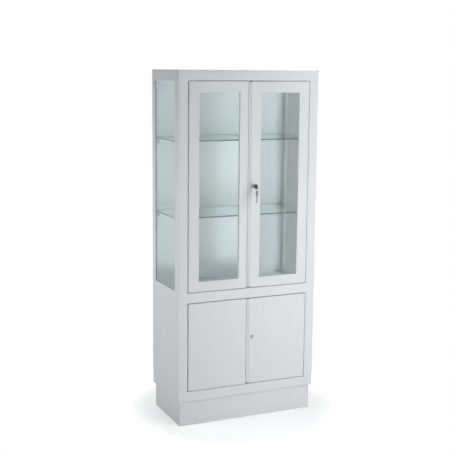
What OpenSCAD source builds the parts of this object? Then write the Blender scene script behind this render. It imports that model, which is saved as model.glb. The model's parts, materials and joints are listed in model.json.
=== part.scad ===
// Glazed display cabinet of folded sheet steel on a recessed plinth.
// Two glazed doors over two plain doors, glazed sides, glass shelves, a lock on each right door.
// X is centred on the cabinet, Z = 0 is the floor. Inside the modules Y = 0 is the face of the
// corner posts and +Y runs to the back; set_back() moves that to the part's own origin.

/* [Cabinet] */
// Width over the side panels
width = 770; // [680:5:900]
// Depth from the post faces to the back
depth = 375; // [340:5:460]
// Height from the floor to the top
height = 1800; // [1700:5:1950]
// Thickness of the folded sheet steel
sheet = 1.2; // [1:0.1:1.4]
// Outside radius of the folded edges
bend_r = 2.5; // [2:0.1:3]
// Width of the corner posts, seen from the front
post_w = 50; // [44:1:60]
// Depth of the corner posts
post_d = 30; // [29:0.5:34]
// Width of the folds along the rear edges of the side panels
rear_fold = 50; // [44:1:60]
// Width of the folds under the side panels
foot_fold = 35; // [32:1:44]
// Height of the bottom and middle rails
rail_h = 52; // [46:1:60]
// Height of the top cap, which with the top rail makes the same height
cap_h = 6; // [5:0.5:9]
// How far the top cap stands in from the sides
cap_inset = 0.5; // [0.3:0.1:0.8]
// Depth of the lips under the top cap that place it between the sides
cap_lip = 12; // [8:1:16]
// Height of the stop lips on the rails
stop_lip = 14; // [13:0.5:16]
// Clearance between the pieces that drop into each other
drop_gap = 0.3; // [0.2:0.1:0.5]

/* [Plinth] */
// Height of the plinth
plinth_h = 130; // [100:5:150]
// Set-back of the plinth under each side
plinth_side = 12.5; // [8:0.5:16]
// Set-back of the plinth under the front
plinth_front = 12; // [8:0.5:20]
// Set-back of the plinth under the back
plinth_back = 7; // [4:0.5:12]
// Width of the folds at the top and foot of the plinth
plinth_fold = 28; // [24:1:34]
// Distance of the plinth bolts from the front and from the back
plinth_bolt_in = 60; // [52:1:90]
// Shank radius of the plinth bolts
plinth_bolt_r = 4; // [3:0.5:4]

/* [Doors] */
// Gap around and between the doors
door_gap = 3; // [2.5:0.1:3.5]
// How far the doors stand in front of the posts
door_proud = 2; // [1:0.5:3]
// Thickness of the doors
door_t = 20; // [19:0.5:21]
// Gap between the back of a door and the stop lips
stop_gap = 2; // [1.5:0.1:2.5]
// Height of the lower doors
lower_door_h = 454; // [420:2:480]
// How far the gap between the doors lies left of the middle
meeting_off = 9.5; // [6:0.5:12]
// Width of the rebate along the right doors' meeting edge
rebate_w = 12; // [10:0.5:14]
// How far the rebate lies behind the right doors' face
rebate_back = 2; // [1.5:0.1:2.5]
// How much shorter the rebate is at each end
rebate_end = 5; // [4:0.5:8]
// Depth of the inner frames and liners
liner_d = 12; // [11:0.5:13]

/* [Glazing] */
// Hinge stile of the glazed doors
hinge_stile = 56; // [50:1:64]
// Meeting stile of the left glazed door
left_stile = 46; // [44:1:54]
// Meeting stile of the right glazed door, from the rebate
right_stile = 55; // [53:1:62]
// Height of the glazed doors' foot below the window
window_foot = 52; // [46:1:62]
// Height of the glazed doors' head above the window
window_head = 56; // [46:1:66]
// Distance of the side windows from the back
rear_stile = 48; // [40:0.5:56]
// Height of the side windows' sill above the middle rail
side_sill = 7; // [7:0.5:14]
// Distance of the side windows' head from the top
side_head = 56; // [50:1:70]
// Thickness of the door and side glass
glass_t = 4; // [3:0.5:4]
// How far the glass reaches behind the edge of its window
glass_lap = 8; // [7:0.5:9]
// Thickness of a seal around the edge of the glass
seal_wall = 2; // [1.5:0.1:2]
// Thickness of a seal's lips in front of and behind the glass
seal_lip = 1.5; // [1:0.1:1.5]
// How far a seal's lips stay back from the edge of the window
seal_reveal = 1; // [0.5:0.1:1.5]
// How far an inner frame's edge stays back from the edge of the window
frame_reveal = 2; // [1.5:0.1:2.5]
// Width of the glazing beads' foot on the side panels
bead_foot = 7.5; // [7.3:0.1:9]
// Gap between the beads and the posts
bead_gap = 0.5; // [0.3:0.1:1]
// Radius of the weld studs that hold the beads
stud_r = 1.5; // [1.2:0.1:1.5]
// Length of the weld studs
stud_l = 5; // [4.5:0.1:6]
// Weld studs along each upright bead
stud_count = 4; // [3:1:6]

/* [Shelves] */
// Thickness of the glass shelves
shelf_t = 6; // [5:0.5:8]
// Height of the lower glass shelf's underside above the middle rail
lower_shelf_up = 371; // [300:1:420]
// Height of the upper glass shelf's underside above the middle rail
upper_shelf_up = 755; // [700:1:800]
// Distance of the shelves' front edge behind the posts
shelf_front = 14; // [12:0.5:18]
// Gap between the shelves and the back panel
shelf_rear = 4.6; // [3:0.2:8]
// Gap between the shelves' ends and the glazing beads
shelf_side = 1.6; // [1:0.1:4]
// Height of the steel shelf's top above the bottom rail
steel_shelf_up = 228; // [180:1:300]
// Height of the steel shelf's folded edge
steel_shelf_h = 25; // [20:1:30]
// Width of the folds under the steel shelf
steel_shelf_fold = 15; // [12:1:20]
// Width of the shelf clips
clip_w = 20; // [16:1:24]
// Height of the shelf clips
clip_h = 30; // [24:1:36]
// Depth of the shelf clips' ledge
clip_ledge = 26; // [24:1:30]
// Thickness of the shelf clips
clip_t = 1.5; // [1.2:0.1:2]
// Radius of the pads under the glass shelves
pad_r = 4; // [3:0.5:5]
// Thickness of the pads
pad_t = 1; // [0.8:0.1:1.5]
// Gap between the beads and the floor of the glazed part
deck_gap = 1.5; // [1:0.1:3]
// Depth of the folds around the glazed part's floor
deck_fold = 30; // [20:1:34]

/* [Hinges and bolts] */
// Radius of the hinge pins
pin_r = 3; // [2.5:0.1:3.2]
// Distance of the hinge pins from the door's hinge edge
pin_in = 16; // [15.5:0.1:17]
// Distance of the hinge pins behind the door's face
pin_back = 9; // [8.5:0.1:9.2]
// How deep a pin reaches into its rail
pin_reach = 8; // [7:0.5:10]
// How deep a pin reaches into its door
pin_root = 12; // [10:0.5:16]
// Running clearance of pins, bolts and lock plugs, on the radius
run_fit = 0.05; // [0.03:0.01:0.08]
// Radius of a pin's thrust collar
collar_r = 5; // [4.5:0.1:5.5]
// Outside radius of the hinge bushes
bush_r = 4.5; // [4.4:0.1:5]
// Flange radius of the hinge bushes
bush_flange_r = 6; // [5.8:0.1:7]
// Flange thickness of the hinge bushes
bush_flange_t = 1.2; // [1:0.1:1.4]
// Radius of the slide bolts
bolt_r = 3; // [2.5:0.1:3.2]
// Length of the slide bolts
bolt_l = 120; // [100:2:140]
// Travel of the slide bolts
bolt_travel = 12; // [10:0.5:12]
// Distance of the slide bolts from the left door's meeting edge
bolt_in = 11; // [10:0.5:12]
// Length of the bolts' thumb pieces
thumb_l = 18; // [14:1:22]
// Thickness of the bolts' thumb pieces
thumb_t = 5; // [4:0.5:6]
// Height of the bolt guides
guide_h = 10; // [8:1:12]
// Width of the bolt guides
guide_w = 12; // [10:0.5:13]
// Radius of the rubber buffers
buffer_r = 3.5; // [3:0.1:4.5]
// Distance of the rubber buffers from the middle
buffer_x = 200; // [150:5:230]
// Radius of the door magnets
magnet_r = 5; // [4:0.1:5]
// Distance of the door magnets from the gap between the doors
magnet_off = 40; // [36:1:60]

/* [Locks] */
// Distance of the locks from the rebate of the right doors
lock_in = 18; // [16:0.5:20]
// Height of the lower lock above the lower door's foot
lower_lock_up = 251; // [200:1:300]
// Flange radius of a lock
lock_flange_r = 10.5; // [10:0.1:12]
// Flange thickness of a lock
lock_flange_t = 2; // [1.5:0.1:2.5]
// Barrel radius of a lock
barrel_r = 9.4; // [8.5:0.1:9.4]
// Plug radius of a lock
plug_r = 6.5; // [6:0.1:6.6]
// Radius of a lock's ring nut
ring_nut_r = 12; // [11.5:0.1:13]
// Thickness of a lock's ring nut
ring_nut_t = 3; // [2.5:0.1:3.5]
// Radius of the plug's tail, which carries the cam
tail_r = 3.5; // [3:0.1:4]
// Reach of the cam from the lock's axis
cam_reach = 45; // [43:0.5:47]
// Width of the cam
cam_w = 12; // [12:0.5:16]
// Thickness of the cam
cam_t = 2; // [1.5:0.1:2.5]
// Clearance between the cam and what it turns past
cam_gap = 0.2; // [0.15:0.05:0.3]
// Width of the keepers on the left doors
keeper_w = 19; // [16:0.5:22]
// Height of the keepers
keeper_h = 40; // [30:1:50]

/* [Keys] */
// Thickness of the key blade
blade_t = 2; // [1.8:0.1:2.1]
// Height of the key blade
blade_h = 8; // [7:0.2:8.4]
// How deep the key reaches into the lock
key_depth = 20; // [16:0.5:21]
// Length of the key between the lock and its head
key_neck = 12; // [10:0.5:14]
// Length of the key's plastic head
key_head_l = 31; // [29:0.5:33]
// Height of the key's plastic head
key_head_h = 24; // [23.6:0.1:24]
// Thickness of the key's plastic head
key_head_t = 3.2; // [3:0.1:3.2]
// Radius of the eyelet in the key's head
eyelet_r = 3.5; // [3.4:0.1:3.6]
// Distance of the eyelet from the end of the key's head
eyelet_in = 5.5; // [5:0.1:6.5]
// Radius of the key ring, to the middle of its wire
ring_r = 10; // [10:0.2:12]
// Radius of the key ring's wire
wire_r = 0.7; // [0.5:0.05:0.7]
// Width of the spare key's head
spare_head_w = 24; // [22:0.5:24]
// Height of the spare key's head
spare_head_h = 26; // [24:0.5:28]
// Thickness of the spare key
spare_t = 2.2; // [1.8:0.1:2.4]
// Length of the spare key's blade
spare_blade_l = 36; // [32:0.5:38]
// Radius of the hole in the spare key
spare_hole_r = 3; // [2.8:0.1:3.2]
// Metal above the hole in the spare key
spare_bar = 2.5; // [2:0.1:2.8]

/* [Hidden] */
$fn = 48;

paint = "gainsboro";
steel = "lightgray";
chrome = "silver";
rubber = "dimgray";
clear = "powderblue";
past = 1;             // how far a cutting body reaches past the face it cuts
hex = 6;              // sides of a hexagon nut or head

// Heights
bottom_rail_top = plinth_h + rail_h;
lower_door_z0 = bottom_rail_top + door_gap;
lower_door_z1 = lower_door_z0 + lower_door_h;
middle_rail_foot = lower_door_z1 + door_gap;
middle_rail_top = middle_rail_foot + rail_h;
upper_door_z0 = middle_rail_top + door_gap;
panel_top = height - cap_h;
top_rail_foot = height - rail_h;
upper_door_z1 = top_rail_foot - door_gap;

// Sideways
side_x = width / 2;
inner_x = side_x - sheet;
jamb_x = side_x - post_w;
door_side_x = jamb_x - door_gap;
left_meeting_x = -meeting_off - door_gap / 2;
right_meeting_x = -meeting_off + door_gap / 2;
right_face_x = right_meeting_x + rebate_w;
pin_x = door_side_x - pin_in;
bolt_x = left_meeting_x - bolt_in;
lock_x = right_face_x + lock_in;

// Front to back
door_front = -door_proud;
door_back = door_front + door_t;
stop_front = door_back + stop_gap;
rail_d = stop_front + sheet;
inner_back = depth - sheet;
panel_front = inner_back - sheet;
pin_y = door_front + pin_back;
bolt_y = door_front + door_t / 2;
inner_bend_r = bend_r - sheet;

// Glazing: a seal wraps the edge of each pane
seal_d = glass_t + 2 * seal_lip;
seal_reach = glass_lap + seal_wall;
door_seal_y = door_front + sheet;
left_window = [
    -door_side_x + hinge_stile, left_meeting_x - left_stile,
    upper_door_z0 + window_foot, upper_door_z1 - window_head
];
right_window = [
    right_face_x + right_stile, door_side_x - hinge_stile,
    upper_door_z0 + window_foot, upper_door_z1 - window_head
];
bead_reach = seal_reach + bead_foot;
side_window_y0 = post_d + bead_reach + bead_gap;
side_window_y1 = depth - rear_stile;
side_window_z0 = middle_rail_top + side_sill;
side_window_z1 = height - side_head;
deck_top = side_window_z0 - bead_reach - deck_gap;
bead_stud_at = seal_reach + sheet + (bead_foot - sheet) / 2;
stud_gap = 0.2;
stud_nut_r = 3;
stud_nut_t = 2.4;
stud_end = 40;

// Where the studs stand: [y, z] of the upright beads, then of the level ones
stud_low = side_window_z0 - bead_reach + stud_end;
stud_high = side_window_z1 + bead_reach - stud_end;
stud_pitch = (stud_high - stud_low) / (stud_count - 1);
side_middle_y = (side_window_y0 + side_window_y1) / 2;
upright_studs = [
    for (y = [side_window_y0 - bead_stud_at, side_window_y1 + bead_stud_at])
        for (i = [0:stud_count - 1]) [y, stud_low + i * stud_pitch]
];
level_studs = [
    [side_middle_y, side_window_z0 - bead_stud_at], [side_middle_y, side_window_z1 + bead_stud_at]
];
studs = concat(upright_studs, level_studs);

// Plinth fastening
plinth_bolt_x = side_x - plinth_side - plinth_fold / 2;
plinth_bolt_spots = [[plinth_bolt_x, plinth_bolt_in], [plinth_bolt_x, depth - plinth_bolt_in]];
plinth_bolt_head_ratio = 1.85;
plinth_bolt_head_r = plinth_bolt_head_ratio * plinth_bolt_r;
plinth_bolt_head_h = 5.3;
plinth_nut_h = 6.5;
plinth_thread_spare = 3;

// Shelves
shelf_x = inner_x - seal_d - sheet - shelf_side;
shelf_y0 = post_d + shelf_front;
shelf_y1 = panel_front - shelf_rear;
lower_shelf_z = middle_rail_top + lower_shelf_up;
upper_shelf_z = middle_rail_top + upper_shelf_up;
steel_shelf_top = bottom_rail_top + steel_shelf_up;
steel_shelf_foot = steel_shelf_top - steel_shelf_h;
clip_in = 8;
clip_x = jamb_x + clip_in;
lower_clip_z = lower_shelf_z - pad_t;
upper_clip_z = upper_shelf_z - pad_t;
clip_heights = [lower_clip_z, upper_clip_z, steel_shelf_foot];
glass_shelf_heights = [lower_shelf_z, upper_shelf_z];
pad_in = 5;

// Back panel and top cap
panel_side_gap = 1.5;
cap_edge_r = 2;
cap_lip_in = 60;
rivet_r = 1.6;
rivet_dome_r = 3.2;
rivet_dome_t = 1;
rivet_tail_r = 2.5;
rivet_in = 12;
rivet_x = side_x - rear_fold + rivet_in;

// The rivets share out the stretches between the shelves and the pans: [foot, top, rivets]
rivet_bays = [
    [bottom_rail_top, steel_shelf_foot - clip_h, 1],
    [steel_shelf_top, deck_top - deck_fold, 1],
    [deck_top, lower_clip_z - clip_h, 2],
    [lower_shelf_z + shelf_t, upper_clip_z - clip_h, 2],
    [upper_shelf_z + shelf_t, panel_top - cap_lip, 2]
];
rivet_heights = [
    for (bay = rivet_bays)
        for (i = [1:bay[2]]) bay[0] + (i - 1 / 2) / bay[2] * (bay[1] - bay[0])
];

// Rail faces that a door turns or bolts on: [height, 1 where the door is above and -1 below]
bottom_face = [bottom_rail_top, 1];
middle_low_face = [middle_rail_foot, -1];
middle_high_face = [middle_rail_top, 1];
top_face = [top_rail_foot, -1];
faces = [bottom_face, middle_low_face, middle_high_face, top_face];
magnet_faces = [middle_low_face, top_face];
bolt_faces = [bottom_face, middle_high_face, top_face];
magnet_xs = [-meeting_off - magnet_off, -meeting_off + magnet_off];

// The stop lips end short of the circle that a door's rear corner sweeps
corner_sweep = norm([pin_in, door_t - pin_back]);
sweep_gap = 3;
lip_x = pin_x - corner_sweep - sweep_gap;
bolt_clear = 0.5;
bolt_sunk = 1;
buffer_gap = 0.3;
magnet_gap = 0.4;
magnet_root = 3;
bush_spare = 1;

// Slide bolts, measured from the rail's face into the door
bolt_rest = door_gap + bolt_sunk;
thumb_z0 = bolt_rest + bolt_l / 2 - thumb_l / 2;
far_guide = bolt_rest + bolt_l - bolt_travel - 2 * guide_h;

// Locks and keys
upper_lock_z = (upper_door_z0 + upper_door_z1) / 2;
lower_lock_z = lower_door_z0 + lower_lock_up;
lock_hole_gap = 0.1;
lock_face = door_front - lock_flange_t;
barrel_end = door_back + ring_nut_t;
cam_y0 = barrel_end + cam_gap;
cam_nut_t = 3;
cam_nut_r = 6;
keeper_gap = 0.5;
keeper_t = cam_y0 - door_back - keeper_gap;
keeper_edge = 3;
keyway_clear = 0.15;
keyway_spare = 2;
head_front = lock_face - key_neck;
head_root = 8;
head_clear = 0.05;
head_corner_r = 8;
eyelet_y = head_front - key_head_l + eyelet_in;
bar_h = key_head_h / 2 - eyelet_r;
bar_drop = eyelet_r + bar_h / 2;
ring_clear = 0.1;
ring_drop = bar_drop + ring_r - wire_r - norm([key_head_t / 2, bar_h / 2]) - ring_clear;
ring_foot = ring_drop + ring_r;
spare_hole_gap = 0.3;
spare_hole_drop = spare_hole_r - wire_r - spare_hole_gap;
spare_top = -spare_hole_drop + spare_hole_r + spare_bar;
notch_w = 3;
notch_d = 1.5;
notch_step = 4;
notch_count = 4;
key_reach = -eyelet_y + spare_head_w / 2;

// The part's origin is under the middle of the whole case with its keys
origin_y = (key_reach - depth - rivet_dome_t) / 2;

module set_back() translate([0, origin_y, 0]) children();

// Shapes
module box(low, high) translate(low) cube(high - low);

module rod_z(x, y, r, z0, z1) translate([x, y, z0]) cylinder(r = r, h = z1 - z0);

module rod_y(x, z, r, y0, y1) translate([x, y0, z]) rotate([-90, 0, 0]) cylinder(r = r, h = y1 - y0);

module rod_x(y, z, r, x0, x1) translate([x0, y, z]) rotate([0, 90, 0]) cylinder(r = r, h = x1 - x0);

// A rectangle whose chosen corners are rounded, counted from the low one and round by the right
module rounded(low, high, r, corners) {
    spots = [[low.x, low.y], [high.x, low.y], high, [low.x, high.y]];
    inward = [[1, 1], [-1, 1], [-1, -1], [1, -1]];
    difference() {
        translate(low) square(high - low);
        for (i = [0:3]) {
            if (r > 0 && corners[i]) corner_cut(spots[i] + r * inward[i], r, inward[i]);
        }
    }
}

// What lies outside the round at a corner, whose centre of curvature is given
module corner_cut(centre, r, inward) {
    reach = r + past;
    difference() {
        translate(centre - [inward.x > 0 ? reach : 0, inward.y > 0 ? reach : 0]) square(reach);
        translate(centre) circle(r);
    }
}

// A profile in Y and Z, drawn out along X
module along_x(x0, x1) translate([x0, 0, 0]) rotate([90, 0, 90]) linear_extrude(x1 - x0) children();

// A plan in X and Y, drawn out along Z
module along_z(z0, z1) translate([0, 0, z0]) linear_extrude(z1 - z0) children();

// A block with its four front edges rounded
module front_block(low, high, r) {
    if (r > 0) {
        intersection() {
            along_z(low.z, high.z) rounded([low.x, low.y], [high.x, high.y], r, [1, 1, 0, 0]);
            along_x(low.x, high.x) rounded([low.y, low.z], [high.y, high.z], r, [1, 0, 0, 1]);
        }
    } else {
        box(low, high);
    }
}

module on_side(right) {
    if (right) {
        mirror([1, 0, 0]) children();
    } else {
        children();
    }
}

// Puts what is drawn upwards from a rail's face onto that face, turned into its door
module at_face(x, y, face) translate([x, y, face[0]]) rotate([face[1] > 0 ? 0 : 180, 0, 0]) children();

// Carcass

// The left side panel is a closed post, the side and the fold at the back, folded in one
module post_plan() {
    difference() {
        rounded([-side_x, 0], [-jamb_x, post_d], bend_r, [1, 1, 0, 0]);
        rounded([-inner_x, sheet], [-jamb_x - sheet, post_d - sheet], inner_bend_r, [1, 1, 0, 0]);
    }
}

module side_sheet_plan() {
    difference() {
        rounded([-side_x, post_d], [-side_x + rear_fold, depth], bend_r, [0, 0, 0, 1]);
        rounded([-inner_x, post_d - past], [side_x, inner_back], inner_bend_r, [0, 0, 0, 1]);
    }
}

module side_panel() {
    difference() {
        union() {
            along_z(plinth_h, panel_top) post_plan();
            along_z(plinth_h, panel_top) side_sheet_plan();
            box([-inner_x - sheet / 2, post_d, plinth_h],
                [-side_x + foot_fold, inner_back, plinth_h + sheet]);
        }
        side_pane(0, -side_x - past, -inner_x + past);
        for (spot = plinth_bolt_spots) {
            rod_z(-spot.x, spot.y, plinth_bolt_r + stud_gap, plinth_h - past, plinth_h + sheet + past);
        }
        for (z = rivet_heights) {
            rod_y(-rivet_x, z, rivet_r + run_fit, inner_back - past, depth + past);
        }
    }
}

// The opening of the left side window, or a pane that reaches out past it
module side_pane(out, x0, x1) {
    box([x0, side_window_y0 - out, side_window_z0 - out],
        [x1, side_window_y1 + out, side_window_z1 + out]);
}

module left_side_panel() color(paint) set_back() side_panel();

module right_side_panel() color(paint) set_back() on_side(true) side_panel();

module plinth() {
    x1 = side_x - plinth_side;
    y0 = plinth_front;
    y1 = depth - plinth_back;
    all = [1, 1, 1, 1];
    color(paint) set_back() difference() {
        along_z(0, plinth_h) rounded([-x1, y0], [x1, y1], bend_r, all);
        along_z(sheet, plinth_h - sheet)
            rounded([-x1 + sheet, y0 + sheet], [x1 - sheet, y1 - sheet], inner_bend_r, all);
        box([-x1 + plinth_fold, y0 + plinth_fold, -past],
            [x1 - plinth_fold, y1 - plinth_fold, plinth_h + past]);
        for (side = [-1, 1]) {
            for (spot = plinth_bolt_spots) {
                rod_z(side * spot.x, spot.y, plinth_bolt_r + stud_gap,
                      plinth_h - sheet - past, plinth_h + past);
            }
        }
    }
}

module plinth_bolts_and_nuts() {
    under = plinth_h - sheet;
    over = plinth_h + sheet;
    end = over + plinth_nut_h + plinth_thread_spare;
    color(chrome) set_back() for (side = [-1, 1]) {
        for (spot = plinth_bolt_spots) {
            translate([side * spot.x, spot.y, 0]) {
                rod_z(0, 0, plinth_bolt_r, under, end);
                translate([0, 0, under - plinth_bolt_head_h])
                    cylinder(r = plinth_bolt_head_r, h = plinth_bolt_head_h, $fn = hex);
                difference() {
                    translate([0, 0, over])
                        cylinder(r = plinth_bolt_head_r, h = plinth_nut_h, $fn = hex);
                    rod_z(0, 0, plinth_bolt_r + run_fit, over - past, end);
                }
            }
        }
    }
}

// The plan of a pan between the sides, notched round the posts
module pan_plan(inset) {
    x1 = inner_x - drop_gap - inset;
    notch_x = jamb_x - drop_gap - inset;
    notch_y = post_d + drop_gap + inset;
    difference() {
        translate([-x1, rail_d + inset]) square([2 * x1, panel_front - rail_d - 2 * inset]);
        for (side = [-1, 1]) {
            translate([side > 0 ? notch_x : -notch_x - post_w, rail_d - past])
                square([post_w, notch_y - rail_d + past]);
        }
    }
}

module pan(z0, z1) {
    difference() {
        along_z(z0, z1) pan_plan(0);
        along_z(z0 - past, z1 - sheet) pan_plan(sheet);
    }
}

module floor_pan() color(paint) set_back() pan(plinth_h + sheet, bottom_rail_top);

module middle_deck() color(paint) set_back() pan(deck_top - deck_fold, deck_top);

module back_panel() {
    x1 = inner_x - panel_side_gap;
    color(paint) set_back() difference() {
        box([-x1, panel_front, plinth_h + sheet], [x1, inner_back, panel_top]);
        for (side = [-1, 1]) {
            for (z = rivet_heights) {
                rod_y(side * rivet_x, z, rivet_r + run_fit, panel_front - past, inner_back + past);
            }
        }
    }
}

module back_rivets() {
    color(steel) set_back() for (side = [-1, 1]) {
        for (z = rivet_heights) {
            rod_y(side * rivet_x, z, rivet_r, panel_front - rivet_dome_t, depth + rivet_dome_t);
            rod_y(side * rivet_x, z, rivet_dome_r, depth, depth + rivet_dome_t);
            rod_y(side * rivet_x, z, rivet_tail_r, panel_front - rivet_dome_t, panel_front);
        }
    }
}

module cap_block(inset, z0, z1) {
    x1 = side_x - cap_inset - inset;
    y0 = cap_inset + inset;
    y1 = depth - cap_inset - inset;
    r = cap_edge_r - inset;
    intersection() {
        along_z(z0, z1) rounded([-x1, y0], [x1, y1], r, [1, 1, 1, 1]);
        along_x(-x1, x1) rounded([y0, z0], [y1, z1], r, [0, 0, 1, 1]);
        translate([0, y1, 0]) rotate([90, 0, 0]) linear_extrude(y1 - y0)
            rounded([-x1, z0], [x1, z1], r, [0, 0, 1, 1]);
    }
}

module top_cap() {
    lip_out = inner_x - drop_gap;
    color(paint) set_back() {
        difference() {
            cap_block(0, panel_top, height);
            cap_block(sheet, panel_top - past, height - sheet);
        }
        for (side = [-1, 1]) {
            box([side > 0 ? lip_out - sheet : -lip_out, post_d + cap_lip_in, panel_top - cap_lip],
                [side > 0 ? lip_out : -lip_out + sheet, depth - cap_lip_in, height - sheet]);
        }
    }
}

// Rails: a box with rounded front edges, and a lip behind the doors
module rail_tube(z0, z1) {
    along_x(-jamb_x, jamb_x) difference() {
        rounded([0, z0], [rail_d, z1], bend_r, [1, 0, 0, 1]);
        rounded([sheet, z0 + sheet], [rail_d - sheet, z1 - sheet], inner_bend_r, [1, 0, 0, 1]);
    }
}

module rail_lip(face) {
    root = face[0] - face[1] * sheet / 2;
    tip = face[0] + face[1] * stop_lip;
    box([-lip_x, stop_front, min(root, tip)], [lip_x, rail_d, max(root, tip)]);
}

module rail(z0, z1, lip_faces) {
    difference() {
        union() {
            rail_tube(z0, z1);
            for (face = lip_faces) rail_lip(face);
        }
        for (face = lip_faces) rail_holes(face);
    }
}

module rail_holes(face) {
    for (side = [-1, 1]) {
        at_face(side * pin_x, pin_y, face) rod_z(0, 0, bush_r + run_fit, -2 * sheet, past);
    }
    if (is_among(face, bolt_faces)) {
        at_face(bolt_x, bolt_y, face) rod_z(0, 0, bolt_r + bolt_clear, -2 * sheet, past);
    }
    if (is_among(face, magnet_faces)) {
        for (x = magnet_xs) {
            rod_y(x, lip_middle(face), magnet_r + run_fit, stop_front - past, rail_d + past);
        }
    }
}

function is_among(face, some_faces) = len([for (f = some_faces) if (f == face) f]) > 0;

function lip_middle(face) = face[0] + face[1] * stop_lip / 2;

module top_rail() color(paint) set_back() rail(top_rail_foot, panel_top, [top_face]);

module middle_rail() {
    color(paint) set_back() rail(middle_rail_foot, middle_rail_top, [middle_low_face, middle_high_face]);
}

module bottom_rail() color(paint) set_back() rail(plinth_h, bottom_rail_top, [bottom_face]);

// Side glazing, drawn on the left

module side_glass() side_pane(glass_lap, -inner_x + seal_lip, -inner_x + seal_lip + glass_t);

module side_seal() {
    difference() {
        side_pane(seal_reach, -inner_x, -inner_x + seal_d);
        side_pane(glass_lap, -inner_x + seal_lip, -inner_x + seal_lip + glass_t);
        side_pane(seal_reveal, -inner_x - past, -inner_x + seal_d + past);
    }
}

// The section of a glazing bead: across it from the window's edge, and up from the side panel
module bead_section() {
    polygon([
        [0, seal_d], [seal_reach, seal_d], [seal_reach, 0], [bead_reach, 0],
        [bead_reach, sheet], [seal_reach + sheet, sheet], [seal_reach + sheet, seal_d + sheet],
        [0, seal_d + sheet]
    ]);
}

// The same section turned, so that it stands on X = 0 and runs outwards along -Y
module outward_section() rotate(-90) bead_section();

module side_beads() {
    length_z = side_window_z1 - side_window_z0 + 2 * bead_reach;
    length_y = side_window_y1 - side_window_y0;
    difference() {
        union() {
            translate([-inner_x, side_window_y0, side_window_z0 - bead_reach])
                linear_extrude(length_z) outward_section();
            translate([-inner_x, side_window_y1, side_window_z0 - bead_reach])
                linear_extrude(length_z) mirror([0, 1]) outward_section();
            translate([-inner_x, side_window_y1, side_window_z0])
                rotate([90, 0, 0]) linear_extrude(length_y) outward_section();
            translate([-inner_x, side_window_y1, side_window_z1])
                rotate([90, 0, 0]) linear_extrude(length_y) mirror([0, 1]) outward_section();
        }
        for (spot = studs) {
            rod_x(spot.x, spot.y, stud_r + stud_gap, -inner_x - past, -inner_x + sheet + past);
        }
    }
}

module side_studs() {
    for (i = [0:len(studs) - 1]) {
        y = studs[i].x;
        z = studs[i].y;
        turn = i < len(upright_studs) ? 0 : 30;
        rod_x(y, z, stud_r, -inner_x, -inner_x + stud_l);
        difference() {
            translate([-inner_x + sheet, y, z]) rotate([0, 90, 0]) rotate([0, 0, turn])
                cylinder(r = stud_nut_r, h = stud_nut_t, $fn = hex);
            rod_x(y, z, stud_r + run_fit, -inner_x, -inner_x + stud_l + past);
        }
    }
}

module left_side_glass() color(clear, 0.4) set_back() side_glass();

module right_side_glass() color(clear, 0.4) set_back() on_side(true) side_glass();

module left_side_seal() color(rubber) set_back() side_seal();

module right_side_seal() color(rubber) set_back() on_side(true) side_seal();

module left_side_beads() color(paint) set_back() side_beads();

module right_side_beads() color(paint) set_back() on_side(true) side_beads();

module bead_studs_and_nuts() {
    color(chrome) set_back() {
        side_studs();
        on_side(true) side_studs();
    }
}

// Shelves

module glass_shelf(z) box([-shelf_x, shelf_y0, z], [shelf_x, shelf_y1, z + shelf_t]);

module lower_glass_shelf() color(clear, 0.4) set_back() glass_shelf(lower_shelf_z);

module upper_glass_shelf() color(clear, 0.4) set_back() glass_shelf(upper_shelf_z);

module steel_shelf() {
    low = [-shelf_x, shelf_y0, steel_shelf_foot];
    high = [shelf_x, shelf_y1, steel_shelf_top];
    wall = [sheet, sheet, sheet];
    fold = [steel_shelf_fold, steel_shelf_fold, -past];
    color(paint) set_back() difference() {
        box(low, high);
        box(low + wall, high - wall);
        box(low + fold, [high.x - steel_shelf_fold, high.y - steel_shelf_fold, low.z + sheet + past]);
    }
}

// One clip on the right: a tab against the post or the back panel, and a ledge
module clip(y_wall, direction, z) {
    y_tab = y_wall + direction * clip_t;
    y_ledge = y_wall + direction * clip_ledge;
    box([clip_x, min(y_wall, y_tab), z - clip_h], [clip_x + clip_w, max(y_wall, y_tab), z]);
    box([clip_x, min(y_wall, y_ledge), z - clip_t], [clip_x + clip_w, max(y_wall, y_ledge), z]);
}

module shelf_clips() {
    color(chrome) set_back() for (z = clip_heights) {
        for (right = [false, true]) {
            on_side(!right) clip(post_d, 1, z);
            on_side(!right) clip(panel_front, -1, z);
        }
    }
}

module shelf_pads() {
    x = clip_x + clip_w / 2;
    color(rubber) set_back() for (z = glass_shelf_heights) {
        for (side = [-1, 1]) {
            rod_z(side * x, shelf_y0 + pad_in, pad_r, z - pad_t, z);
            rod_z(side * x, shelf_y1 - pad_in, pad_r, z - pad_t, z);
        }
    }
}

// What the doors turn on and close against

module hinge_bushes() {
    color("goldenrod") set_back() for (face = faces) {
        for (side = [-1, 1]) {
            at_face(side * pin_x, pin_y, face) difference() {
                union() {
                    rod_z(0, 0, bush_flange_r, 0, bush_flange_t);
                    rod_z(0, 0, bush_r, -pin_reach - bush_spare, bush_flange_t);
                }
                rod_z(0, 0, pin_r + run_fit, -pin_reach - bush_spare - past, bush_flange_t + past);
            }
        }
    }
}

module door_buffers() {
    color(rubber) set_back() for (face = faces) {
        for (side = [-1, 1]) {
            rod_y(side * buffer_x, lip_middle(face), buffer_r, door_back + buffer_gap, stop_front);
        }
    }
}

module door_magnets() {
    color(rubber) set_back() for (face = magnet_faces) {
        for (x = magnet_xs) {
            rod_y(x, lip_middle(face), magnet_r, door_back + magnet_gap, rail_d + magnet_root);
        }
    }
}

// Doors

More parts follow.
